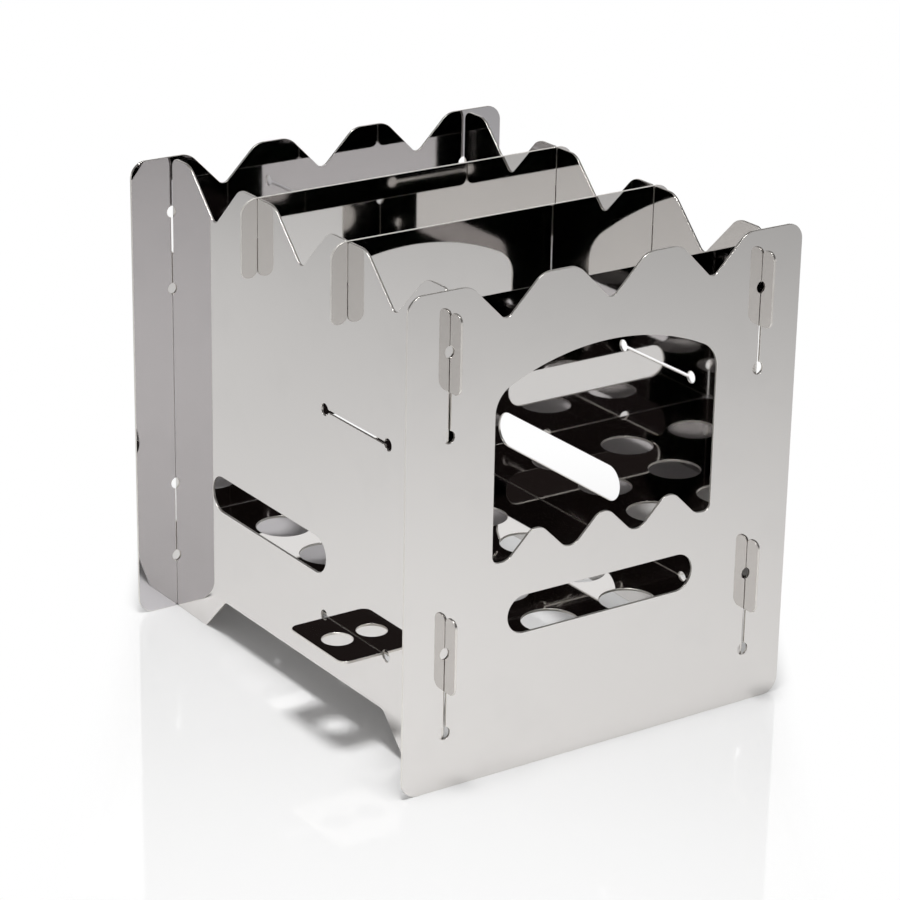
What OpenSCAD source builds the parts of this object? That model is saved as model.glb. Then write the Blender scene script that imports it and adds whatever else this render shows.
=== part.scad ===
// Twig stove that stands as a box and packs flat.
// Two upright plates and two walls hook together without screws. A perforated
// grate carries the fire and two strips across the top carry the pot.
// The origin is on the ground at the middle of the box. The fire is fed from -Y.

/* [Sheet] */
// Thickness of every piece
sheet = 1; // [0.6:0.1:1.5]
// Extra width of a slot over the sheet that passes through it
slot_play = 0.3; // [0.2:0.05:0.6]
// Diameter of the round relief at each end of a slot
relief_d = 5; // [3:0.5:6]
// Gap left where one edge seats in another
seat_gap = 0.2; // [0.1:0.05:0.4]

/* [Box] */
// Distance between the inner faces of the two walls
bay_w = 144; // [130:1:180]
// Distance between the inner faces of the front and rear plates
bay_l = 203.4; // [190:0.2:240]
// Height of the plates, the walls and the pot rest
stove_h = 200; // [180:1:230]

/* [Front and rear plates] */
// Width that each plate stands out past a wall on either side
flange_w = 18.5; // [14:0.5:26]
// Radius of the four plate corners
corner_r = 7; // [2:0.5:10]
// Distance between the notches along the top of a plate
plate_notch_pitch = 48; // [44:1:50]
// Width of each notch at the top of a plate
plate_notch_w = 32; // [24:1:34]
// Depth of each notch in the top of a plate, measured to its sharp point
plate_notch_depth = 16; // [10:1:18]
// Radius at the bottom of every notch
notch_root_r = 3.2; // [1:0.2:4]
// Radius of the shoulders of every notch
notch_shoulder_r = 9; // [3:0.5:11]

/* [Feeding window] */
// Width of the window in the front plate
window_w = 104; // [80:1:110]
// Height of the window's sill above the ground, in its valleys
window_sill_z = 88.2; // [84:0.2:95]
// Depth of the crown of the window's arch below the top of the plate
window_crown_drop = 31.6; // [28:0.2:40]
// Radius of the long arch over the window
window_arch_r = 107; // [80:1:150]
// Radius where the arch turns down into the window's sides
window_corner_r = 12; // [6:0.5:16]
// Distance between the teeth along the sill
sill_pitch = 31.6; // [28:0.2:34]
// Height of the teeth along the sill
sill_tooth_h = 10.6; // [6:0.2:12]
// Radius of the tips and valleys along the sill
sill_r = 6; // [2:0.5:7]

/* [Air slots] */
// Length of each long air slot
air_slot_len = 88.6; // [60:0.2:95]
// Height of each long air slot
air_slot_h = 15.6; // [10:0.2:16]
// Height of the middle of the air slots above the ground
air_slot_z = 64.6; // [62:0.2:70]
// Distance of the walls' air slots behind the middle of the box
wall_air_slot_y = 25.7; // [15:0.1:35]

/* [Hooks] */
// Height of the lower row of hook slots above the ground
hook_low_z = 40; // [36:0.5:42]
// Depth of the middle of the upper row of hook slots below the top of the box
hook_top_drop = 40; // [38:0.5:44]
// Distance between the two relief centres of a hook slot
hook_slot_len = 33.2; // [31:0.2:36]
// Height of a hook from tip to heel
hook_h = 31; // [29:0.5:34]
// Distance that a hook stands out past the outside of its plate
hook_reach = 7; // [6:0.5:10]
// Distance from the middle of a slot to the heel of the hook in it
hook_heel = 1; // [0:0.25:2]
// Radius of the outer corners of a hook
hook_r = 3.4; // [1:0.2:4]
// Radius of the inner lip of a hook
hook_lip_r = 2.5; // [0.5:0.25:2.5]
// Step back of the walls' rear edge above the upper hooks
wall_setback = 1; // [0.2:0.1:2]

/* [Walls] */
// Distance between the notches along the top of a wall
wall_notch_pitch = 66.4; // [60:0.2:70]
// Width of each notch at the top of a wall
wall_notch_w = 40; // [30:1:44]
// Depth of each notch in the top of a wall, measured to its sharp point
wall_notch_depth = 20; // [12:1:22]
// Height of the wall's underside above the ground between its feet
arch_h = 16.4; // [8:0.2:20]
// Length of the raised part of the wall's underside
arch_len = 121; // [90:1:130]
// Radius of the top corners of a wall and of its feet
wall_corner_r = 4; // [1:0.5:6]

/* [Grate] */
// Height of the middle of the grate above the ground
grate_z = 40; // [34:0.5:46]
// Height of the spare upper grate slots above the ground
spare_grate_z = 127.5; // [105:0.5:135]
// Distance of the grate's side tabs ahead of the middle of the box
side_tab_y = 40; // [30:0.5:45]
// Width of a grate tab
tab_w = 40; // [30:1:44]
// Distance that a side tab stands out past the outside of its wall
side_tab_reach = 18.4; // [16:0.2:24]
// Distance that the rear tab stands out past the outside of the rear plate
rear_tab_reach = 7; // [5:0.5:20]
// Diameter of the hole in each side tab
tab_hole_d = 12.5; // [6:0.5:14]
// Distance of the hole's middle past the outside of its wall
tab_hole_x = 8; // [7.2:0.2:9.2]
// Radius of a tab's outer corners
tab_r = 4; // [1:0.5:6]
// Gap between the grate's edges and the sheets round it
grate_gap = 0.3; // [0.2:0.1:1]
// Radius of the grate's own corners
grate_r = 4; // [1:0.5:8]
// Diameter of the air holes in the grate
air_hole_d = 23.5; // [10:0.5:26]
// Number of air holes across the grate
air_holes_x = 3; // [1:1:3]
// Number of air holes along the grate
air_holes_y = 5; // [1:1:5]
// Distance between air holes across the grate
air_hole_pitch_x = 38.6; // [30:0.2:42]
// Distance between air holes along the grate
air_hole_pitch_y = 35; // [30:0.2:38]

/* [Pot supports] */
// Height of a pot support strip
support_h = 32.5; // [24:0.5:34]
// Distance that a strip stands out past the outside of a wall
support_reach = 7.4; // [5:0.2:12]
// Radius of a strip's top corners
support_top_r = 7; // [2:0.5:9]
// Radius of the fingers at the bottom of a strip
support_finger_r = 3.3; // [1:0.1:3.5]
// Radius at the mouth of the walls' support slots
mouth_r = 1.5; // [0.5:0.25:3]

/* [Hidden] */
$fn = 48;
arc_step = 12;
slot_w = sheet + slot_play;
edge_gap = slot_play / 2;
cut_past = 1;
wall_x = (bay_w + sheet) / 2;
wall_outer_x = bay_w / 2 + sheet;
plate_w = 2 * (wall_outer_x + flange_w);
plate_inner_y = bay_l / 2;
plate_outer_y = bay_l / 2 + sheet;
window_crown_z = stove_h - window_crown_drop;
hook_levels = [hook_low_z, stove_h - hook_top_drop];
slot_end = (hook_slot_len + relief_d) / 2;
tab_slot_len = tab_w + relief_d;
support_y = wall_notch_pitch / 2;
support_bottom_z = stove_h - support_h;
lap_z = stove_h - support_h / 2;
wall_edge_y = plate_inner_y - edge_gap;
hook_inner_y = plate_outer_y + edge_gap;
hook_outer_y = plate_outer_y + hook_reach;
support_end_x = wall_outer_x + support_reach;

function unit(v) = v / norm(v);

// Points of the arc that rounds the corner b between a and c.
// A corner is [x, y] or [x, y, radius]. The radius is limited by the sides next to it.
function corner(a, b, c) =
    let (at = [b[0], b[1]],
         to_a = [a[0], a[1]] - at,
         to_c = [c[0], c[1]] - at,
         u = unit(to_a),
         v = unit(to_c),
         half = acos(u * v) / 2,
         wanted = (len(b) == 3) ? b[2] : 0,
         reach = min(wanted / tan(half), norm(to_a) * 0.48, norm(to_c) * 0.48),
         r = reach * tan(half),
         mid = at + unit(u + v) * r / sin(half),
         start = at + u * reach - mid,
         turn = sign(u[0] * v[1] - u[1] * v[0]),
         steps = ceil((180 - 2 * half) / arc_step),
         first = atan2(start[1], start[0]))
    (wanted == 0) ? [at]
    : [for (i = [0:steps])
        let (angle = first - turn * (180 - 2 * half) * i / steps)
        mid + r * [cos(angle), sin(angle)]];

function rounded(p) =
    let (n = len(p))
    [for (i = [0:n - 1]) each corner(p[(i + n - 1) % n], p[i], p[(i + 1) % n])];

// Top edge with three notches, from the negative end to the positive end.
function notched_top(pitch, width, depth) =
    [for (at = [-pitch, 0, pitch])
        each [[at - width / 2, stove_h, notch_shoulder_r],
              [at, stove_h - depth, notch_root_r],
              [at + width / 2, stove_h, notch_shoulder_r]]];

// A slot with a round relief at each end; its length is between the relief centres.
module relief_slot(length) {
    square([length, slot_w], center = true);
    for (side = [-1, 1])
        translate([side * length / 2, 0]) circle(d = relief_d);
}

module air_slot() {
    square([air_slot_len - air_slot_h, air_slot_h], center = true);
    for (side = [-1, 1])
        translate([side * (air_slot_len - air_slot_h) / 2, 0]) circle(d = air_slot_h);
}

// Outline, hook slots and air slot that the front and rear plates share.
module plate_blank() {
    difference() {
        polygon(rounded(concat(
            [[-plate_w / 2, 0, corner_r], [-plate_w / 2, stove_h, corner_r]],
            notched_top(plate_notch_pitch, plate_notch_w, plate_notch_depth),
            [[plate_w / 2, stove_h, corner_r], [plate_w / 2, 0, corner_r]])));
        for (side = [-1, 1], level = hook_levels)
            translate([side * wall_x, level]) rotate(90) relief_slot(hook_slot_len);
        translate([0, air_slot_z]) air_slot();
    }
}

// Sill of the window: three teeth, with a flat valley against each side.
function sill() =
    let (tip = sill_tooth_h + sill_r * (sqrt(2) - 1),
         valley = sill_r * (sqrt(2) - 1),
         flank = sill_pitch / 2,
         lean = flank / (tip + valley),
         last = sill_pitch + lean * tip)
    concat([[-window_w / 2, 0, sill_r / 2], [-last, 0, sill_r]],
           [for (k = [-1:1])
               each concat([[k * sill_pitch, tip, sill_r]],
                           (k < 1) ? [[k * sill_pitch + flank, -valley, sill_r]] : [])],
           [[last, 0, sill_r], [window_w / 2, 0, sill_r / 2]]);

module window() {
    centre_z = window_crown_z - window_arch_r;
    corner_x = window_w / 2 - window_corner_r;
    corner_z = centre_z + sqrt(pow(window_arch_r - window_corner_r, 2) - corner_x * corner_x);
    lean = atan2(corner_x, corner_z - centre_z);
    steps = ceil(2 * lean / 3);
    // The sill and the sides, up to where the corner arcs begin.
    translate([0, window_sill_z])
        polygon(rounded(concat(sill(), [[window_w / 2, corner_z - window_sill_z],
                                        [-window_w / 2, corner_z - window_sill_z]])));
    // The two corner arcs and the space between them.
    for (side = [-1, 1])
        translate([side * corner_x, corner_z]) circle(r = window_corner_r);
    // The long arch.
    polygon(concat([[corner_x, corner_z - cut_past], [-corner_x, corner_z - cut_past]],
                   [for (i = [0:steps])
                       let (angle = lean * (2 * i / steps - 1))
                       [window_arch_r * sin(angle), centre_z + window_arch_r * cos(angle)]]));
}

// Stands a flat shape up across the box, its front face at y.
module stand_across(y) {
    translate([0, y + sheet, 0]) rotate([90, 0, 0]) linear_extrude(sheet) children();
}

// Stands a flat shape up along the box, its middle at x.
module stand_along(x) {
    translate([x - sheet / 2, 0, 0]) rotate([90, 0, 90]) linear_extrude(sheet) children();
}

module front_plate() {
    color("gainsboro") stand_across(-plate_outer_y) difference() {
        plate_blank();
        window();
    }
}

module rear_plate() {
    color("gainsboro") stand_across(plate_inner_y) difference() {
        plate_blank();
        for (z = [grate_z, spare_grate_z])
            translate([0, z]) relief_slot(tab_slot_len);
    }
}

// Front hook in the slot at height level. It points up, and runs from top to bottom.
function front_hook(level) =
    let (heel = level + hook_heel,
         root = level + slot_end - seat_gap)
    [[-wall_edge_y, root], [-hook_inner_y, root],
     [-hook_inner_y, heel + hook_h, hook_lip_r], [-hook_outer_y, heel + hook_h, hook_r],
     [-hook_outer_y, heel, hook_r], [-wall_edge_y, heel]];

// Rear hook in the slot at height level. It points down, and runs from bottom to top.
function rear_hook(level, edge_above) =
    let (heel = level - hook_heel,
         root = level - slot_end + seat_gap)
    [[wall_edge_y, root], [hook_inner_y, root],
     [hook_inner_y, heel - hook_h, hook_lip_r], [hook_outer_y, heel - hook_h, hook_r],
     [hook_outer_y, heel, hook_r], [edge_above, heel]];

module support_slot() {
    polygon(rounded([[-slot_w / 2, lap_z - seat_gap], [-slot_w / 2, stove_h, mouth_r],
                     [-slot_w / 2 - 2 * mouth_r, stove_h],
                     [-slot_w / 2 - 2 * mouth_r, stove_h + cut_past],
                     [slot_w / 2 + 2 * mouth_r, stove_h + cut_past],
                     [slot_w / 2 + 2 * mouth_r, stove_h],
                     [slot_w / 2, stove_h, mouth_r], [slot_w / 2, lap_z - seat_gap]]));
}

module wall_shape() {
    upper_edge = wall_edge_y - wall_setback;
    difference() {
        polygon(rounded(concat(
            [[-wall_edge_y, stove_h, wall_corner_r]],
            notched_top(wall_notch_pitch, wall_notch_w, wall_notch_depth),
            [[upper_edge, stove_h, wall_corner_r], [upper_edge, hook_levels[1] - hook_heel]],
            [for (i = [5:-1:0]) rear_hook(hook_levels[1], wall_edge_y)[i]],
            [for (i = [5:-1:0]) rear_hook(hook_levels[0], wall_edge_y)[i]],
            [[wall_edge_y, 0, wall_corner_r / 2],
             [arch_len / 2 + arch_h, 0, wall_corner_r / 2],
             [arch_len / 2, arch_h, wall_corner_r],
             [-arch_len / 2, arch_h, wall_corner_r],
             [-arch_len / 2 - arch_h, 0, wall_corner_r / 2],
             [-wall_edge_y, 0, wall_corner_r / 2]],
            [for (i = [5:-1:0]) front_hook(hook_levels[0])[i]],
            [for (i = [5:-1:0]) front_hook(hook_levels[1])[i]])));
        for (z = [grate_z, spare_grate_z])
            translate([-side_tab_y, z]) relief_slot(tab_slot_len);
        translate([wall_air_slot_y, air_slot_z]) air_slot();
        for (side = [-1, 1])
            translate([side * support_y, 0]) support_slot();
    }
}

module left_wall() {
    color("silver") stand_along(-wall_x) wall_shape();
}

module right_wall() {
    color("silver") stand_along(wall_x) wall_shape();
}

// Tab that runs out along +X, with its outer corners rounded.
module grate_tab(from, to) {
    polygon(rounded([[from, -tab_w / 2], [to, -tab_w / 2, tab_r],
                     [to, tab_w / 2, tab_r], [from, tab_w / 2]]));
}

module side_tab(from) {
    difference() {
        grate_tab(from, wall_outer_x + side_tab_reach);
        translate([wall_outer_x + tab_hole_x, 0]) circle(d = tab_hole_d);
    }
}

module grate() {
    half_w = bay_w / 2 - grate_gap;
    half_l = bay_l / 2 - grate_gap;
    color("darkgray") translate([0, 0, grate_z - sheet / 2]) linear_extrude(sheet) {
        difference() {
            polygon(rounded([[-half_w, -half_l, grate_r], [half_w, -half_l, grate_r],
                             [half_w, half_l, grate_r], [-half_w, half_l, grate_r]]));
            for (i = [0:air_holes_x - 1], j = [0:air_holes_y - 1])
                translate([(i - (air_holes_x - 1) / 2) * air_hole_pitch_x,
                           (j - (air_holes_y - 1) / 2) * air_hole_pitch_y])
                    circle(d = air_hole_d);
        }
        for (turn = [0, 180])
            translate([0, -side_tab_y]) rotate(turn) side_tab(half_w - cut_past);
        rotate(90) grate_tab(half_l - cut_past, plate_outer_y + rear_tab_reach);
    }
}

// Right half of a pot support, from the top middle to the bottom middle.
function support_half() =
    [[support_end_x, stove_h, support_top_r],
     [support_end_x, support_bottom_z, support_finger_r],
     [wall_x + slot_w / 2, support_bottom_z, support_finger_r],
     [wall_x + slot_w / 2, lap_z], [wall_x - slot_w / 2, lap_z],
     [wall_x - slot_w / 2, support_bottom_z, support_finger_r]];

module pot_support(y) {
    right = support_half();
    color("lightgray") stand_across(y - sheet / 2)
        polygon(rounded(concat(right,
                               [for (i = [len(right) - 1:-1:0])
                                   [-right[i][0], right[i][1],
                                    (len(right[i]) == 3) ? right[i][2] : 0]])));
}

module front_pot_support() {
    pot_support(-support_y);
}

module rear_pot_support() {
    pot_support(support_y);
}

front_plate();
rear_plate();
left_wall();
right_wall();
grate();
front_pot_support();
rear_pot_support();
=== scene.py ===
# %% [markdown]
# # A twig stove of polished steel sheets
# The stove is a box of five steel sheets, held together by hooks and tabs, with two
# strips across its top that carry a pot. Nothing is screwed or welded, and every
# piece is one flat sheet with a mirror finish. Steel like this has hardly a colour
# of its own. It shows the pale floor, the dark room and the other sheets, so the
# room is built with as much care as the stove.
#
# The sheets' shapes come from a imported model, the frame. It gives each sheet at
# its real size, in metres, with +Z up and the feeding window towards -Y.

# %% Load the frame
from math import atan2, cos, pi, radians, sin

import bmesh
import bpy
from mathutils import Matrix, Quaternion, Vector


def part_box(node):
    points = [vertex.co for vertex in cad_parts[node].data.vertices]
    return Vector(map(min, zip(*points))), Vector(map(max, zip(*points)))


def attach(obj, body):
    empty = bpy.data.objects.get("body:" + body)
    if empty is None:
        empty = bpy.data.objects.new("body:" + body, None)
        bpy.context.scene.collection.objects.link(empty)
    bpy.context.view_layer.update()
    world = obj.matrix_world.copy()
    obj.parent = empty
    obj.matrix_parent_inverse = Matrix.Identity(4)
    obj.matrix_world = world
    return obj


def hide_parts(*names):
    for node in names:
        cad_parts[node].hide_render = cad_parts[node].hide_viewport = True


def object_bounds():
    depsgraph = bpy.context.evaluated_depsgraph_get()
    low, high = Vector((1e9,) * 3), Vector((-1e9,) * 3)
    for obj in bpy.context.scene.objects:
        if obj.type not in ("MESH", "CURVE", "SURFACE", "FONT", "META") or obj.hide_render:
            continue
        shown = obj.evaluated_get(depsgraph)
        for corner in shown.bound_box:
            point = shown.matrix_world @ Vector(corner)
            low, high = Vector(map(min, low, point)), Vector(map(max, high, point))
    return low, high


MM = 0.001
scene = bpy.context.scene
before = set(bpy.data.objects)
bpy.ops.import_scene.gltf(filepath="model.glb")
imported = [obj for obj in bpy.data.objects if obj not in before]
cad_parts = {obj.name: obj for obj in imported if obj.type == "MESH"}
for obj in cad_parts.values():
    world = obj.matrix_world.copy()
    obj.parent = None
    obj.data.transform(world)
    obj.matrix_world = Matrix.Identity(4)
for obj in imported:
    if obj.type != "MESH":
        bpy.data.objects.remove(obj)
cad_box = [list(corner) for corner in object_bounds()]
size = [high - low for low, high in zip(*cad_box)]
print("the stove measures", [round(length / MM, 1) for length in size], "mm")


# %% [markdown]
# ## The camera
# A long lens from nearly 1.3 metres away keeps the uprights nearly parallel, as in
# a picture for a shop. The camera looks down 21 degrees at the middle of the box,
# from the front and its left. It is placed by two angles, a distance and a small
# roll, because those are easier to read and to change than a place and a matrix.

# %% Place the camera
AIM = Vector((-1.17, 0.80, 90.18)) * MM
DISTANCE = 1292.58 * MM
AZIMUTH = radians(-34.44)
ELEVATION = radians(21.04)
ROLL = radians(1.0035)
SENSOR = 36
LENS = 126.54

back = Vector((sin(AZIMUTH) * cos(ELEVATION), -cos(AZIMUTH) * cos(ELEVATION), sin(ELEVATION)))
camera = bpy.data.objects.new("camera", bpy.data.cameras.new("camera"))
camera.data.sensor_width = SENSOR
camera.data.lens = LENS
camera.location = AIM + back * DISTANCE
camera.rotation_mode = "QUATERNION"
camera.rotation_quaternion = (-back).to_track_quat("-Z", "Y") @ Quaternion((0, 0, 1), ROLL)
scene.collection.objects.link(camera)
scene.camera = camera
scene.view_settings.view_transform = "Standard"
print("the camera stands at", [round(v / MM) for v in camera.location], "mm")


# %% [markdown]
# ## Formulas for nodes
# A finish is a small sum: so much haze here, a finer grain there. Written as nodes
# and links, the sum is hard to see. This class wraps one output of a node, so that
# `1 - mask` or `grain * 0.4` adds the Math node and its links by itself. Its `node`
# method makes any other node. The same class serves the shader trees and the
# geometry tree, because both know the Math nodes.

# %% A socket that can be added and multiplied
class Wire:
    def __init__(self, tree, socket=None):
        self.tree = tree
        self.socket = socket

    def plug(self, target, value):
        """Links a wire to a node's input, or writes a plain value there."""
        if isinstance(value, Wire):
            self.tree.links.new(value.socket, target)
        else:
            target.default_value = value

    def node(self, kind, settings=None, sockets=None, output=0):
        """Makes a node: its settings first, then the values or wires of its inputs."""
        made = self.tree.nodes.new(kind)
        for name, value in (settings or {}).items():
            setattr(made, name, value)
        for name, value in (sockets or {}).items():
            self.plug(made.inputs[name], value)
        if not made.outputs:
            return made
        return Wire(self.tree, made.outputs[output])

    def other(self, output):
        """Another output of the same node."""
        return Wire(self.tree, self.socket.node.outputs[output])

    def math(self, operation, a, b=0.0):
        return self.node("ShaderNodeMath", {"operation": operation}, {0: a, 1: b})

    def vector_math(self, operation, sockets, output="Vector"):
        return self.node("ShaderNodeVectorMath", {"operation": operation}, sockets, output)

    def __add__(self, b):
        return self.math("ADD", self, b)

    def __radd__(self, a):
        return self.math("ADD", a, self)

    def __sub__(self, b):
        return self.math("SUBTRACT", self, b)

    def __rsub__(self, a):
        return self.math("SUBTRACT", a, self)

    def __mul__(self, b):
        return self.math("MULTIPLY", self, b)

    def __rmul__(self, a):
        return self.math("MULTIPLY", a, self)

    def __truediv__(self, b):
        return self.math("DIVIDE", self, b)

    def __rtruediv__(self, a):
        return self.math("DIVIDE", a, self)

    def larger(self, b):
        return self.math("MAXIMUM", self, b)

    def ramp(self, low, high, start=0.0, end=1.0):
        """Runs smoothly from start to end while the value goes from low to high."""
        return self.node("ShaderNodeMapRange", {"interpolation_type": "SMOOTHSTEP"},
                         {0: self, 1: low, 2: high, 3: start, 4: end})

    def dot(self, direction):
        """How far a vector reaches along a direction."""
        return self.vector_math("DOT_PRODUCT", {0: self, 1: direction}, "Value")

    def length(self):
        return self.vector_math("LENGTH", {0: self}, "Value")

    def times(self, factors):
        """A vector stretched by a factor for each axis."""
        return self.vector_math("MULTIPLY", {0: self, 1: factors})

    def scaled(self, factor):
        """A vector made longer or shorter, by a number or a wire."""
        return self.vector_math("SCALE", {0: self, "Scale": factor})

    def plus(self, vector):
        return self.vector_math("ADD", {0: self, 1: vector})

    def noise(self, cells_per_metre, detail=2.0, roughness=0.5):
        """Smooth noise between 0 and 1, with this many cells in a metre."""
        return self.node("ShaderNodeTexNoise", {"normalize": True}, {
            "Vector": self, "Scale": cells_per_metre, "Detail": detail, "Roughness": roughness})

    def tint(self, mask, low, high):
        """A colour between two, by a mask. The Mix node has its colours at 6, 7 and out at 2."""
        return self.node("ShaderNodeMix", {"data_type": "RGBA"}, {0: mask, 6: low, 7: high}, 2)


def fresh_tree(owner):
    """Empties the node tree of a world or a material, and gives a wire to start from."""
    owner.use_nodes = True
    owner.node_tree.nodes.clear()
    return Wire(owner.node_tree)


# %% [markdown]
# ## The finish of the sheets
# The sheets are stainless steel, rolled, polished to a mirror and then cut. A mirror
# this good could be one grey metal with a low roughness, but it would look like
# glass. Real polish has a direction: under a lens there are fine parallel lines and
# a few longer hairlines. A large sheet is never quite flat, so what it mirrors
# swims a little. Hands leave a faint haze. All of this is weak here, because the
# real stove is new. The plate at the rear gets a darker copy of the same steel, so
# it mirrors about a sixth less light than the others: painted shade on that plate.
#
# The pattern lies in the sheet's own flat plane. Each sheet carries its flat
# pattern as a UV map in metres, so the lines run the same way on every sheet,
# whichever way it stands.

# %% Polished sheet
FLAT_MAP = "flat_pattern"
STEEL = (0.690, 0.672, 0.656, 1)
HAZED_STEEL = (0.670, 0.653, 0.638, 1)
# A darker copy of the same steel for the rear plate, about a sixth darker: painted shade.
SHADE_PAINTED_REAR = (0.566, 0.551, 0.564, 1)
HAZED_SHADE_PAINTED_REAR = (0.549, 0.535, 0.549, 1)
MIRROR_ROUGHNESS = 0.024

# How often a pattern repeats in a metre, for the lines along and across themselves.
FINE_LINES_PER_METRE = (40, 6000, 1)
HAIRLINES_PER_METRE = (25, 1500, 1)
HAZE_PER_METRE = 22
SWIM_PER_METRE = 9

# Between these two values of its noise, a pattern fades in.
HAIRLINE_FADE = (0.70, 0.78)
HAZE_FADE = (0.50, 0.72)

# What each pattern adds, with the heights in metres.
HAIRLINE_ROUGHNESS = 0.03
HAZE_ROUGHNESS = 0.016
HAZE_TINT = 0.8
FINE_LINE_HEIGHT = 0.0000001
SWIM_HEIGHT = 0.00004


def flat_place(wire):
    """Where a point lies on the sheet's flat pattern, in metres."""
    return wire.node("ShaderNodeUVMap", {"uv_map": FLAT_MAP})


def relief(height):
    """The normal of a surface that rises by so many metres."""
    return height.node("ShaderNodeBump", sockets={
        "Strength": 1.0, "Distance": 1.0, "Height": height})


def metal(base, metallic, roughness, normal):
    """The shader that every metal finish here ends in."""
    shader = base.node("ShaderNodeBsdfPrincipled", sockets={
        "Base Color": base, "Metallic": metallic, "Roughness": roughness, "Normal": normal})
    base.node("ShaderNodeOutputMaterial", sockets={"Surface": shader})


def polished_sheet(name, steel, hazed_steel):
    """A mirror with fine lines, a few hairlines, a little haze and a slight waviness."""
    material = bpy.data.materials.new(name)
    flat = flat_place(fresh_tree(material))
    lines = flat.times(FINE_LINES_PER_METRE).noise(1, detail=1)
    hairlines = flat.times(HAIRLINES_PER_METRE).noise(1, detail=0).ramp(*HAIRLINE_FADE)
    haze = flat.noise(HAZE_PER_METRE, detail=3, roughness=0.6).ramp(*HAZE_FADE)
    swim = flat.noise(SWIM_PER_METRE, detail=1, roughness=0.4)
    roughness = MIRROR_ROUGHNESS + haze * HAZE_ROUGHNESS + hairlines * HAIRLINE_ROUGHNESS
    bump = relief(swim * SWIM_HEIGHT + lines * FINE_LINE_HEIGHT)
    metal(flat.tint(haze * HAZE_TINT, steel, hazed_steel), 1.0, roughness, bump)
    return material


# %% [markdown]
# A laser cuts the outline. It leaves a dull edge with fine lines straight across
# the thickness, and the maker takes the sharp corner off. That edge catches the
# light as a thin line round every cut, so it gets a finish of its own: the same
# steel, rougher, and with the cutter's lines. The laser also burns a thin skin onto
# it that scatters a little light, so the edge is not quite all metal. The lines
# depend only on the place in the flat pattern, so they run straight through the
# sheet.
#
# The two strips that carry the pot have sanded edges, so that they don't scratch
# it. Sanding leaves the edge duller, and it scatters more light.

# %% Cut edge
CUT_STEEL = (0.78, 0.76, 0.73, 1)
WARM_CUT_STEEL = (0.68, 0.65, 0.61, 1)
CUT_METALLIC = 0.9
SANDED_METALLIC = 0.45
CUT_ROUGHNESS = 0.24

PATCHES_PER_METRE = 90
CUTTER_LINES_PER_METRE = 5200
CUTTER_LINE_ROUGHNESS = 0.14
CUTTER_LINE_HEIGHT = 0.000006


def cut_edge(name, metallic):
    """A rougher steel with warmer patches and the cutter's lines."""
    material = bpy.data.materials.new(name)
    flat = flat_place(fresh_tree(material))
    cutter_lines = flat.noise(CUTTER_LINES_PER_METRE, detail=1)
    patches = flat.noise(PATCHES_PER_METRE, detail=2)
    roughness = CUT_ROUGHNESS + cutter_lines * CUTTER_LINE_ROUGHNESS
    bump = relief(cutter_lines * CUTTER_LINE_HEIGHT)
    metal(flat.tint(patches, CUT_STEEL, WARM_CUT_STEEL), metallic, roughness, bump)
    return material


POLISHED_SHEET = polished_sheet("mirror_polish", STEEL, HAZED_STEEL)
# The rear plate's finish is the same polish with the darker copy of the steel: painted shade.
REAR_FINISH_PAINTED_SHADE = polished_sheet("mirror_polish_rear_painted_shade", SHADE_PAINTED_REAR, HAZED_SHADE_PAINTED_REAR)
CUT_EDGE = cut_edge("cut_edge", CUT_METALLIC)
SANDED_EDGE = cut_edge("sanded_edge", SANDED_METALLIC)
for made in (POLISHED_SHEET, REAR_FINISH_PAINTED_SHADE, CUT_EDGE, SANDED_EDGE):
    print("the finish", made.name, "has", len(made.node_tree.nodes), "nodes")


# %% [markdown]
# ## From a packed sheet back to its cutting pattern
# A maker cuts the sheets from drawings, so each sheet is taken back to such a
# drawing: closed lines in a plane, seen square on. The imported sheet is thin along
# one axis, and the other two are the drawing's own. The cutting line is the border
# of the sheet's upper face, which is found by collecting the edges that have that
# face on one side only. The line is walked with the steel on its left.

# %% Trace the cutting line
SAME_POINT = 0.001 * MM
FACES_UP = 0.99


def lay_flat(node):
    """The move from the flat pattern to the sheet's place, and the sheet's thickness."""
    low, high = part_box(node)
    extent = high - low
    thin = min(range(3), key=lambda axis: extent[axis])
    across, up = [axis for axis in range(3) if axis != thin]
    right, upward, middle = Vector(), Vector(), Vector()
    right[across] = 1
    upward[up] = 1
    middle[thin] = (low[thin] + high[thin]) / 2
    place = Matrix((right, upward, right.cross(upward))).transposed().to_4x4()
    place.translation = middle
    return place, extent[thin]


def cutting_lines(node, place):
    """The closed cutting lines of a sheet, each a list of points in its flat pattern."""
    copy = bmesh.new()
    copy.from_mesh(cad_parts[node].data)
    copy.transform(place.inverted())
    bmesh.ops.remove_doubles(copy, verts=copy.verts, dist=SAME_POINT)
    # The list keeps the mesh's own order, so that every run starts each line at the same point.
    top_faces = [face for face in copy.faces
                 if face.normal.z > FACES_UP and face.calc_center_median().z > 0]
    top = set(top_faces)
    onward = {}
    for face in top_faces:
        for corner in face.loops:
            if sum(neighbour in top for neighbour in corner.edge.link_faces) == 1:
                onward[corner.vert] = corner.link_loop_next.vert
    lines = []
    while onward:
        vert = next(iter(onward))
        line = []
        while vert in onward:
            line.append(vert.co.xy)
            vert = onward.pop(vert)
        lines.append([Vector(point) for point in line])
    copy.free()
    return lines


# %% [markdown]
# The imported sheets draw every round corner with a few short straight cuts, which
# would show as flats in a polished edge. Three cuts of the same length that turn by
# the same angle lie on one circle. Each of those gets more points, on the arc that
# bulges out from the cut by the right amount.

# %% Make the arcs round
SHORTEST_CUT = 0.05 * MM
POINTS_PER_CUT = 3
SAME_LENGTH = 0.01
SAME_TURN = radians(0.2)
LEAST_TURN = radians(1)
MOST_TURN = radians(30)


def turn(before, here, after):
    """The angle that the line turns at a point, to the left if positive."""
    first, second = here - before, after - here
    return atan2(first.cross(second), first.dot(second))


def without_stubs(line):
    """The line without the points that nearly touch the one before."""
    return [point for i, point in enumerate(line) if (point - line[i - 1]).length > SHORTEST_CUT]


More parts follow.
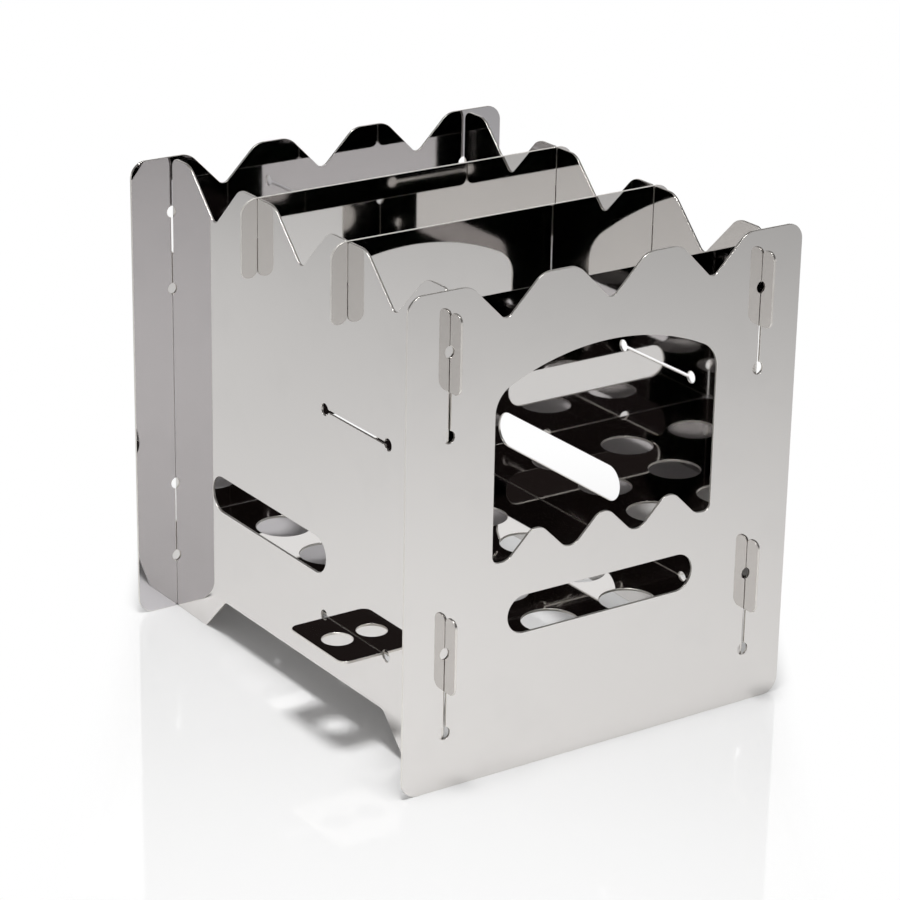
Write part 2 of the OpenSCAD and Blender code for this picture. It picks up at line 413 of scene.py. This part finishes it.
def arc_turn(line, i):
    """How far the arc turns from point i to the next, or 0 where the cut is straight."""
    count = len(line)
    for first in (i - 2, i - 1, i):
        points = [line[(first + k) % count] for k in range(4)]
        cuts = [(b - a).length for a, b in zip(points, points[1:])]
        one, two = turn(*points[:3]), turn(*points[1:])
        alike = max(cuts) - min(cuts) < SAME_LENGTH * max(cuts) and abs(one - two) < SAME_TURN
        if alike and LEAST_TURN < abs(one) < MOST_TURN:
            return one
    return 0.0


def rounded(line):
    """The same line, with more points on its arcs."""
    line = without_stubs(line)
    finer = []
    for i, start in enumerate(line):
        finer.append(start)
        angle = arc_turn(line, i)
        if angle:
            end = line[(i + 1) % len(line)]
            outward = Vector((end.y - start.y, start.x - end.x))
            for k in range(1, POINTS_PER_CUT + 1):
                share = k / (POINTS_PER_CUT + 1)
                swing = angle * (share - 0.5)
                bulge = (cos(swing) - cos(angle / 2)) / (2 * sin(angle / 2))
                along = 0.5 + sin(swing) / (2 * sin(angle / 2))
                finer.append(start + (end - start) * along + outward * bulge)
    return finer


# %% [markdown]
# The tool that takes off the sharp corner follows the cut at a steady distance.
# At each point of the line it has to know which way the steel lies, so each point
# gets an arrow into the steel. On a straight cut the arrow is one long. At a corner
# it is longer, so that the rolled edges of both sides meet on the diagonal, as a
# mitre does. A limit keeps it from growing without end at a needle-sharp corner.

# %% Arrows into the steel
MITRE_LIMIT = 0.3


def into_steel(line):
    """For each point, the arrow that moves it sideways by 1 along both of its cuts."""
    arrows = []
    for before, here, after in zip([line[-1]] + line[:-1], line, line[1:] + line[:1]):
        first = (here - before).normalized()
        second = (after - here).normalized()
        left_one = Vector((-first.y, first.x))
        left_two = Vector((-second.y, second.x))
        arrows.append((left_one + left_two) / max(MITRE_LIMIT, 1 + left_one.dot(left_two)))
    return arrows


def outline_mesh(name, lines):
    """A bare wire of the cutting lines, with the arrows as an attribute of its points."""
    points, edges, arrows = [], [], []
    for line in lines:
        first = len(points)
        count = len(line)
        points += [(point.x, point.y, 0) for point in line]
        edges += [(first + i, first + (i + 1) % count) for i in range(count)]
        arrows += [value for arrow in into_steel(line) for value in (arrow.x, arrow.y, 0)]
    mesh = bpy.data.meshes.new(name)
    mesh.from_pydata(points, edges, [])
    mesh.attributes.new("into_steel", "FLOAT_VECTOR", "POINT").data.foreach_set("vector", arrows)
    return mesh


# %% [markdown]
# ## One rule for every sheet
# All seven sheets are made in the same way: a cutting line, a thickness, a small
# radius on the edge. That is a rule, so one Geometry Nodes tree makes them all. A
# Bevel modifier could round the edge too, but it also works on the flats beside it,
# and a mirror shows the smallest unevenness there. In the tree the flats are filled
# in last, between the finished edges, so they stay perfectly flat.
#
# The tree works on half the thickness. It raises the line to a wall, then a repeat
# zone rolls the wall over: each turn extrudes the upper rim, and moves it a step
# inwards and a smaller step up. The rim is filled for the flat side, and the half
# is mirrored. A grid of circles gives the grate its air holes: they are one circle,
# repeated, and join the line before all this starts.

# %% Sockets of the tree
SHEET_INPUTS = {
    "Outline": "NodeSocketGeometry",
    "Thickness": "NodeSocketFloat",
    "Edge Radius": "NodeSocketFloat",
    "Edge Steps": "NodeSocketInt",
    "Air Holes": "NodeSocketBool",
    "Air Hole Diameter": "NodeSocketFloat",
    "Air Hole Columns": "NodeSocketInt",
    "Air Hole Rows": "NodeSocketInt",
    "Air Hole Pitch": "NodeSocketVector",
    "Air Hole Middle": "NodeSocketVector",
    "Sheet Finish": "NodeSocketMaterial",
    "Edge Finish": "NodeSocketMaterial",
}
HOLE_FACETS = 96
SEAM = 0.002 * MM
SHARP_CORNER = radians(50)


def new_tree(name, inputs):
    """An empty geometry tree with named inputs, and a wire for each of them."""
    tree = bpy.data.node_groups.new(name, "GeometryNodeTree")
    for label, kind in inputs.items():
        tree.interface.new_socket(label, in_out="INPUT", socket_type=kind)
    tree.interface.new_socket("Sheet", in_out="OUTPUT", socket_type="NodeSocketGeometry")
    source = Wire(tree).node("NodeGroupInput")
    return tree, {label: source.other(label) for label in inputs}


def upward_by(height):
    """An arrow straight up, as long as a wire says."""
    return height.node("ShaderNodeCombineXYZ", sockets={"Z": height})


def stored(part, name, kind, domain, value):
    """Writes a value onto the points or face corners of a part, under a name."""
    return part.node("GeometryNodeStoreNamedAttribute", {"data_type": kind, "domain": domain}, {
        "Geometry": part, "Name": name, "Value": value})


# %% Air holes, and the rolled edge
def air_holes(sheet):
    """Circles on a grid, with their arrows pointing out of the hole, into the steel."""
    wire = sheet["Outline"]
    columns, rows = sheet["Air Hole Columns"], sheet["Air Hole Rows"]
    circle = wire.node("GeometryNodeMeshCircle", {"fill_type": "NONE"}, {
        "Vertices": HOLE_FACETS, "Radius": sheet["Air Hole Diameter"] / 2})
    arrow = wire.vector_math("NORMALIZE", {0: wire.node("GeometryNodeInputPosition")})
    circle = stored(circle, "into_steel", "FLOAT_VECTOR", "POINT", arrow)
    pitch = wire.node("ShaderNodeSeparateXYZ", sockets={0: sheet["Air Hole Pitch"]})
    grid = wire.node("GeometryNodeMeshGrid", sockets={
        "Size X": pitch * (columns - 1), "Vertices X": columns,
        "Size Y": pitch.other("Y") * (rows - 1), "Vertices Y": rows})
    grid = wire.node("GeometryNodeTransform", sockets={
        "Geometry": grid, "Translation": sheet["Air Hole Middle"]})
    holes = wire.node("GeometryNodeInstanceOnPoints", sockets={
        "Points": grid, "Instance": circle})
    holes = wire.node("GeometryNodeRealizeInstances", sockets={0: holes})
    return wire.node("GeometryNodeSwitch", {"input_type": "GEOMETRY"}, {
        "Switch": sheet["Air Holes"], "True": holes})


def raised(rim, chosen, inward, upward):
    """Extrudes the chosen edges, and moves the new rim into the steel and up."""
    band = rim.node("GeometryNodeExtrudeMesh", {"mode": "EDGES"}, {
        "Mesh": rim, "Selection": chosen, "Offset Scale": 0.0}, "Mesh")
    arrow = rim.node("GeometryNodeInputNamedAttribute", {"data_type": "FLOAT_VECTOR"}, {
        "Name": "into_steel"})
    step = arrow.scaled(inward).plus(upward_by(upward))
    moved = rim.node("GeometryNodeSetPosition", sockets={
        "Geometry": band, "Selection": band.other("Top"), "Offset": step})
    return moved, band.other("Top")


def rolled_edge(sheet, wall, rim):
    """Rolls the rim of a wall over a quarter of a circle, one step in each turn of the zone."""
    tree = wall.tree
    begin = tree.nodes.new("GeometryNodeRepeatInput")
    end = tree.nodes.new("GeometryNodeRepeatOutput")
    begin.pair_with_output(end)
    end.repeat_items.new("BOOLEAN", "Rim")
    wall.plug(begin.inputs["Iterations"], sheet["Edge Steps"])
    wall.plug(begin.inputs["Geometry"], wall)
    wall.plug(begin.inputs["Rim"], rim)
    steps_done = Wire(tree, begin.outputs["Iteration"])
    here = steps_done / sheet["Edge Steps"] * (pi / 2)
    there = (steps_done + 1) / sheet["Edge Steps"] * (pi / 2)
    inward = (wall.math("COSINE", here) - wall.math("COSINE", there)) * sheet["Edge Radius"]
    upward = (wall.math("SINE", there) - wall.math("SINE", here)) * sheet["Edge Radius"]
    band, top = raised(Wire(tree, begin.outputs["Geometry"]), Wire(tree, begin.outputs["Rim"]),
                       inward, upward)
    wall.plug(end.inputs["Geometry"], band)
    wall.plug(end.inputs["Rim"], top)
    return Wire(tree, end.outputs["Geometry"]), Wire(tree, end.outputs["Rim"])


# %% Flat sides, and the tree as a whole
def flat_side(sheet, edge, rim):
    """Fills the rolled rim, which closes the sheet at half its thickness."""
    line = edge.node("GeometryNodeMeshToCurve", sockets={"Mesh": edge, "Selection": rim})
    side = edge.node("GeometryNodeFillCurve", {"mode": "TRIANGLES"}, {"Curve": line})
    return edge.node("GeometryNodeTransform", sockets={
        "Geometry": side, "Translation": upward_by(sheet["Thickness"] / 2)})


def finished(part, smooth, finish):
    """Gives a part its smooth or flat shading, and its finish."""
    part = part.node("GeometryNodeSetShadeSmooth", {"domain": "FACE"}, {
        "Geometry": part, "Shade Smooth": smooth})
    return part.node("GeometryNodeSetMaterial", sockets={"Geometry": part, "Material": finish})


def join(*parts):
    """Several parts as one geometry."""
    joined = parts[0].tree.nodes.new("GeometryNodeJoinGeometry")
    for part in parts:
        parts[0].tree.links.new(part.socket, joined.inputs[0])
    return Wire(parts[0].tree, joined.outputs[0])


def cut_sheet_tree():
    """The whole rule: line, wall, rolled edge, flat side, and the other half."""
    tree, sheet = new_tree("cut_sheet", SHEET_INPUTS)
    line = join(sheet["Outline"], air_holes(sheet))
    every_edge = line.node("FunctionNodeInputBool", {"boolean": True})
    wall, rim = raised(line, every_edge, 0.0, sheet["Thickness"] / 2 - sheet["Edge Radius"])
    edge, rim = rolled_edge(sheet, wall, rim)
    half = join(finished(edge, True, sheet["Edge Finish"]),
                finished(flat_side(sheet, edge, rim), False, sheet["Sheet Finish"]))
    other_half = half.node("GeometryNodeTransform", sockets={
        "Geometry": half, "Scale": (1, 1, -1)})
    other_half = half.node("GeometryNodeFlipFaces", sockets={"Mesh": other_half})
    whole = half.node("GeometryNodeMergeByDistance", sockets={
        "Geometry": join(half, other_half), "Distance": SEAM})
    corner = half.node("GeometryNodeInputMeshEdgeAngle", output="Unsigned Angle")
    whole = half.node("GeometryNodeSetShadeSmooth", {"domain": "EDGE"}, {
        "Geometry": whole, "Selection": half.math("GREATER_THAN", corner, SHARP_CORNER),
        "Shade Smooth": False})
    place = half.node("GeometryNodeInputPosition")
    whole = stored(whole, FLAT_MAP, "FLOAT2", "CORNER", place)
    whole = half.node("GeometryNodeRealizeInstances", sockets={"Geometry": whole})
    half.node("NodeGroupOutput", sockets={"Sheet": whole})
    return tree


CUT_SHEET = cut_sheet_tree()
print("the tree has", len(CUT_SHEET.nodes), "nodes and", len(SHEET_INPUTS), "inputs")


# %% [markdown]
# ## Cutting a sheet
# With the rule in place, a sheet takes three steps. Its cutting line goes into the
# tree, the result is baked to a plain mesh, and the mesh is stood up where the
# frame has the sheet. It then rides on the frame's body, so it moves when that
# part of the stove is lifted.

# %% Cut one sheet and stand it up
EDGE_RADIUS = 0.14 * MM
EDGE_STEPS = 3


def set_input(modifier, label, value):
    """Sets a modifier's input by its identifier, which stays the same if a label changes."""
    item = modifier.node_group.interface.items_tree[label]
    modifier[item.identifier] = value


def baked(piece):
    """The evaluated piece as a plain mesh that faces outwards."""
    graph = bpy.context.evaluated_depsgraph_get()
    mesh = bpy.data.meshes.new_from_object(
        piece.evaluated_get(graph), preserve_all_data_layers=True, depsgraph=graph)
    whole = bmesh.new()
    whole.from_mesh(mesh)
    bmesh.ops.recalc_face_normals(whole, faces=whole.faces)
    open_edges = sum(not edge.is_manifold for edge in whole.edges)
    whole.to_mesh(mesh)
    whole.free()
    for index in reversed(range(len(mesh.materials))):
        if mesh.materials[index] is None:
            mesh.materials.pop(index=index)
    return mesh, open_edges


def cut_sheet(name, node, body, lines=None, holes=None, finish=POLISHED_SHEET, edge=CUT_EDGE):
    """Makes one finished sheet in the place of a packed one."""
    place, thickness = lay_flat(node)
    lines = lines or [rounded(line) for line in cutting_lines(node, place)]
    piece = bpy.data.objects.new(name, outline_mesh(name, lines))
    scene.collection.objects.link(piece)
    modifier = piece.modifiers.new("cut", "NODES")
    modifier.node_group = CUT_SHEET
    inputs = {"Thickness": thickness, "Edge Radius": EDGE_RADIUS, "Edge Steps": EDGE_STEPS,
              "Sheet Finish": finish, "Edge Finish": edge}
    for label, value in {**inputs, **(holes or {})}.items():
        set_input(modifier, label, value)
    mesh, open_edges = baked(piece)
    piece.modifiers.clear()
    piece.data = mesh
    mesh.name = name
    mesh.transform(place)
    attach(piece, body)
    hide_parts(node)
    print(f"{name}: {len(lines)} cutting lines, {len(mesh.polygons)} faces,",
          f"{open_edges} open edges")


# %% [markdown]
# ## Front and rear plates
# The two upright plates close the stove at its ends. The front one has the window
# that twigs are fed through, and both have a long air slot low down. Four slots
# near their sides hang on the walls' hooks, two at each level. A slot ends in small
# round reliefs, which keep it from tearing and give the sharp corners of the hook
# somewhere to go.

# %% Front and rear plates
cut_sheet("front_sheet", "front_plate", "front_plate")
# The rear plate gets the darker copy of the steel: painted shade.
cut_sheet("rear_sheet", "rear_plate", "box", finish=REAR_FINISH_PAINTED_SHADE)


# %% [markdown]
# ## Side walls
# The walls carry everything. Their hooks reach through the plates at both ends, two
# slots in their top edges take the pot supports, and tabs of the grate pass through
# slots low down. Three wide notches along the top let flame and smoke out.

# %% Side walls
cut_sheet("left_side_sheet", "left_wall", "box")
cut_sheet("right_side_sheet", "right_wall", "box")


# %% [markdown]
# ## The grate
# The fire lies on the grate. It is the one sheet with a pattern that repeats:
# rows of equal round holes that let air up and ash down. So its holes are not
# traced one by one. The circles are picked out of the cutting lines, measured for
# their size and spacing, and handed to the tree as a grid. The smaller hole in each
# side tab doesn't fit the pattern and stays as traced.

# %% Measure the air holes
ROUND_WITHIN = 0.02
SAME_ROW = 1 * MM


def circle_of(line):
    """The middle and diameter of a cutting line, and whether it is a circle."""
    middle = sum(line, Vector((0, 0))) / len(line)
    radii = [(point - middle).length for point in line]
    return middle, 2 * max(radii), max(radii) - min(radii) < ROUND_WITHIN * max(radii)


def middles(values):
    """The distinct places along one axis, in order."""
    found = []
    for value in sorted(values):
        if not found or value - found[-1] > SAME_ROW:
            found.append(value)
    return found


def step_and_middle(places):
    """The even step between places along one axis, and the middle of them all."""
    first, last = places[0], places[-1]
    return (last - first) / (len(places) - 1), (first + last) / 2


def air_hole_grid(lines):
    """Takes the commonest circle out of the lines, and describes its grid."""
    measured = [(line, *circle_of(line)) for line in lines]
    circles = [(line, middle, round(width / MM, 1))
               for line, middle, width, is_round in measured if is_round]
    widths = [width for _, _, width in circles]
    common = max(set(widths), key=widths.count)
    holes = [(line, middle) for line, middle, width in circles if width == common]
    kept = [line for line in lines if not any(line is hole for hole, _ in holes)]
    columns = middles(middle.x for _, middle in holes)
    rows = middles(middle.y for _, middle in holes)
    step_x, middle_x = step_and_middle(columns)
    step_y, middle_y = step_and_middle(rows)
    print(len(columns), "columns and", len(rows), "rows of air holes,", common,
          "mm wide, one each", round(step_x / MM, 1), "and", round(step_y / MM, 1), "mm")
    return kept, {
        "Air Holes": True, "Air Hole Diameter": common * MM,
        "Air Hole Columns": len(columns), "Air Hole Rows": len(rows),
        "Air Hole Pitch": (step_x, step_y, 0), "Air Hole Middle": (middle_x, middle_y, 0)}


# %% Grate
grate_place, _ = lay_flat("grate")
grate_lines, grate_holes = air_hole_grid(cutting_lines("grate", grate_place))
cut_sheet("grate_sheet", "grate", "box", [rounded(line) for line in grate_lines], grate_holes)


# %% [markdown]
# ## Pot supports
# Two strips stand on edge across the top. Near each end a strip has a slot that
# takes the wall, and the wall has one that takes the strip, so each keeps the other
# upright. The strips lift straight out.

# %% Pot supports
cut_sheet("front_support_sheet", "front_pot_support", "front_pot_support", edge=SANDED_EDGE)
cut_sheet("rear_support_sheet", "rear_pot_support", "rear_pot_support", edge=SANDED_EDGE)


# %% [markdown]
# ## The room
# Upright sheets seen from above mirror the floor in front of them, so they look
# pale. Level sheets mirror what is above them, and in the picture that is a dark
# room: the grate and its tabs look black. A mirror object without a dark side looks
# like chalk, so the room stays dark even though the picture's background is white.
#
# The world therefore has three jobs, told apart by the kind of ray. The camera sees
# plain white. Mirrors and glass see white round the horizon, and above it a dark,
# slightly warm room. Everything else only gets an even fill light, which keeps the
# shadow under the stove from going black.

# %% Make the world
WHITE = (1, 1, 1, 1)
FILL = (0.34, 0.34, 0.34, 1)
DARK_ROOM = (0.020, 0.0155, 0.0150, 1)
WHITE_UP_TO = radians(3)
DARK_FROM = radians(10)


def ray_kinds(wire):
    """The mask of camera rays, and the mask of rays from mirrors and glass."""
    camera_ray = wire.node("ShaderNodeLightPath", output="Is Camera Ray")
    glossy_ray = camera_ray.other("Is Glossy Ray")
    glass_ray = camera_ray.other("Is Transmission Ray")
    return camera_ray, glossy_ray.larger(glass_ray)


def make_world():
    """White for the camera, a dark room for mirrors, and an even fill for the rest."""
    scene.world = bpy.data.worlds.new("room")
    wire = fresh_tree(scene.world)
    direction = wire.node("ShaderNodeTexCoord", output="Generated")
    upward = wire.node("ShaderNodeSeparateXYZ", sockets={0: direction}, output="Z")
    horizon = upward.ramp(sin(WHITE_UP_TO), sin(DARK_FROM), 1.0, 0.0)
    camera_ray, mirror_ray = ray_kinds(wire)
    mirrored = wire.tint(horizon, DARK_ROOM, WHITE)
    seen = wire.tint(camera_ray, wire.tint(mirror_ray, FILL, mirrored), WHITE)
    light = wire.node("ShaderNodeBackground", sockets={"Color": seen, "Strength": 1.0})
    wire.node("ShaderNodeOutputWorld", sockets={"Surface": light})


make_world()


# %% [markdown]
# ## The pale card
# A low pale card stands behind the stove, out of the camera's sight. It does what
# such a card does in a studio. Where the floor mirrors it, the floor turns white,
# and where the stove stands in front of it, the floor keeps a faint grey image of
# the stove. Through the walls' air slots the grate mirrors it too. It has to be
# low: light that leaves the stove over the top must pass above it into the dark
# room, or the inside of the stove turns grey.

# %% Stand the card up
AWAY = Vector((-back.x, -back.y, 0)).normalized()
SIDEWAYS = Vector((AWAY.y, -AWAY.x, 0))
CARD_DISTANCE = 300 * MM
CARD_HEIGHT = 290 * MM
CARD_HALF_WIDTH = 300 * MM


def stage_sheet(name, corners, material):
    """One flat face that belongs to the studio, not to the stove."""
    mesh = bpy.data.meshes.new(name)
    mesh.from_pydata([tuple(corner) for corner in corners], [], [(0, 1, 2, 3)])
    mesh.materials.append(material)
    sheet = bpy.data.objects.new(name, mesh)
    scene.collection.objects.link(sheet)
    return sheet


def pale_card():
    """A glowing sheet that only mirrors and glass see."""
    material = bpy.data.materials.new("pale_card")
    wire = fresh_tree(material)
    glow = wire.node("ShaderNodeEmission", sockets={"Color": WHITE, "Strength": 1.0})
    wire.node("ShaderNodeOutputMaterial", sockets={"Surface": glow})
    foot = AWAY * CARD_DISTANCE
    left, right = foot - SIDEWAYS * CARD_HALF_WIDTH, foot + SIDEWAYS * CARD_HALF_WIDTH
    up = Vector((0, 0, CARD_HEIGHT))
    card = stage_sheet("pale_card", (left, right, right + up, left + up), material)
    card.visible_camera = False
    card.visible_diffuse = False
    card.visible_shadow = False


pale_card()
print("the card is", round(CARD_HEIGHT / MM), "mm high and", round(CARD_DISTANCE / MM), "mm away")


# %% [markdown]
# ## The lamp
# One small soft lamp hangs nearly straight above, a little towards the camera. Its
# size sets how soft the shadows are: the tabs' shadows on the floor have an edge
# about a quarter as wide as the tabs are high. Its height sets how fast the floor
# falls off, and with it how much darker the plates get towards their tops.

# %% Hang the lamp
LAMP_PLACE = (-0.145, -0.162, 0.88)
LAMP_WIDTH = 0.22
LAMP_POWER = 6.15

lamp = bpy.data.lights.new("soft_lamp", "AREA")
lamp.shape = "DISK"
lamp.size = LAMP_WIDTH
lamp.energy = LAMP_POWER
lamp_stand = bpy.data.objects.new("soft_lamp", lamp)
lamp_stand.location = LAMP_PLACE
scene.collection.objects.link(lamp_stand)
print("the lamp hangs", LAMP_PLACE[2], "m up")


# %% [markdown]
# ## The floor
# The stove stands on a sheet of glossy white acrylic. The steel sees it as a plain
# matte white, lit by the lamp. The camera sees it a shade greyer and glossy, with
# the card mirrored in it, so that a faint image of the stove stays visible below
# the stove and the rest is white.
#
# Farther away the floor gives way to a white glow, because the picture is plain
# white there and no lamp could light a floor so evenly. For the camera it starts
# right beside and behind the stove. For the steel it comes in slowly behind the
# stove and not at all in front, because the floor's own falloff near the stove is
# what shades the plates from bottom to top. The glow lights nothing: only the
# camera, mirrors and glass see it.

# %% Lay the floor
FLOOR_WHITE = (0.93, 0.93, 0.93, 1)
FLOOR_SEEN = (0.92, 0.92, 0.92, 1)
ACRYLIC_ROUGHNESS = 0.05
FLOOR_REACH = 6.0
# A faint glow that the camera sees all over the floor, in the stove's shadow too: painted light
# that makes the shadow lighter.
LEAST_GLOW = 0.03

# The camera's glow fades in between two distances from the stove's middle, in metres.
# Beside the stove it paints white over the stove's own shadow.
SEEN_BESIDE = (0.125, 0.143)
SEEN_BEHIND = (0.05, 0.25)
SEEN_IN_FRONT = (0.08, 0.45)

# The mirrors' glow fades in going back, fades out to the sides, and is everywhere far out.
MIRRORED_BEHIND = (0.0, 0.45)
MIRRORED_BESIDE = (0.35, 0.80)
MIRRORED_FAR_OUT = (1.2, 2.0)


def seen_glow(away, beside):
    """Where the camera sees the glow: beside and behind the stove, and little in front."""
    beside_or_behind = beside.ramp(*SEEN_BESIDE).larger(away.ramp(*SEEN_BEHIND))
    strongest = beside_or_behind.larger((away * -1).ramp(*SEEN_IN_FRONT))
    return LEAST_GLOW + strongest * (1 - LEAST_GLOW)


def mirrored_glow(away, beside, distance):
    """Where mirrors and glass see the glow: more and more behind the stove, and far around."""
    behind = away.ramp(*MIRRORED_BEHIND) * beside.ramp(*MIRRORED_BESIDE, 1.0, 0.0)
    return behind.larger(distance.ramp(*MIRRORED_FAR_OUT))


def white_acrylic():
    """Glossy and lit for the camera, matte and lit for the steel, and glowing farther away."""
    material = bpy.data.materials.new("white_acrylic")
    wire = fresh_tree(material)
    camera_ray, mirror_ray = ray_kinds(wire)
    glossy = wire.node("ShaderNodeBsdfPrincipled", sockets={
        "Base Color": FLOOR_SEEN, "Roughness": ACRYLIC_ROUGHNESS})
    matte = wire.node("ShaderNodeBsdfPrincipled", sockets={
        "Base Color": FLOOR_WHITE, "Roughness": 1.0, "Specular IOR Level": 0.0})
    lit = wire.node("ShaderNodeMixShader", sockets={0: camera_ray, 1: matte, 2: glossy})
    place = wire.node("ShaderNodeTexCoord", output="Object")
    away = place.dot(AWAY)
    beside = wire.math("ABSOLUTE", place.dot(SIDEWAYS))
    seen = seen_glow(away, beside) * camera_ray
    mirrored = mirrored_glow(away, beside, place.length()) * mirror_ray
    mask = seen + mirrored
    glow = wire.node("ShaderNodeEmission", sockets={"Color": WHITE, "Strength": 1.0})
    mixed = wire.node("ShaderNodeMixShader", sockets={0: mask, 1: lit, 2: glow})
    wire.node("ShaderNodeOutputMaterial", sockets={"Surface": mixed})
    return material


corners = [Vector((x, y, 0)) * FLOOR_REACH for x, y in ((-1, -1), (1, -1), (1, 1), (-1, 1))]
stage_sheet("floor", corners, white_acrylic())
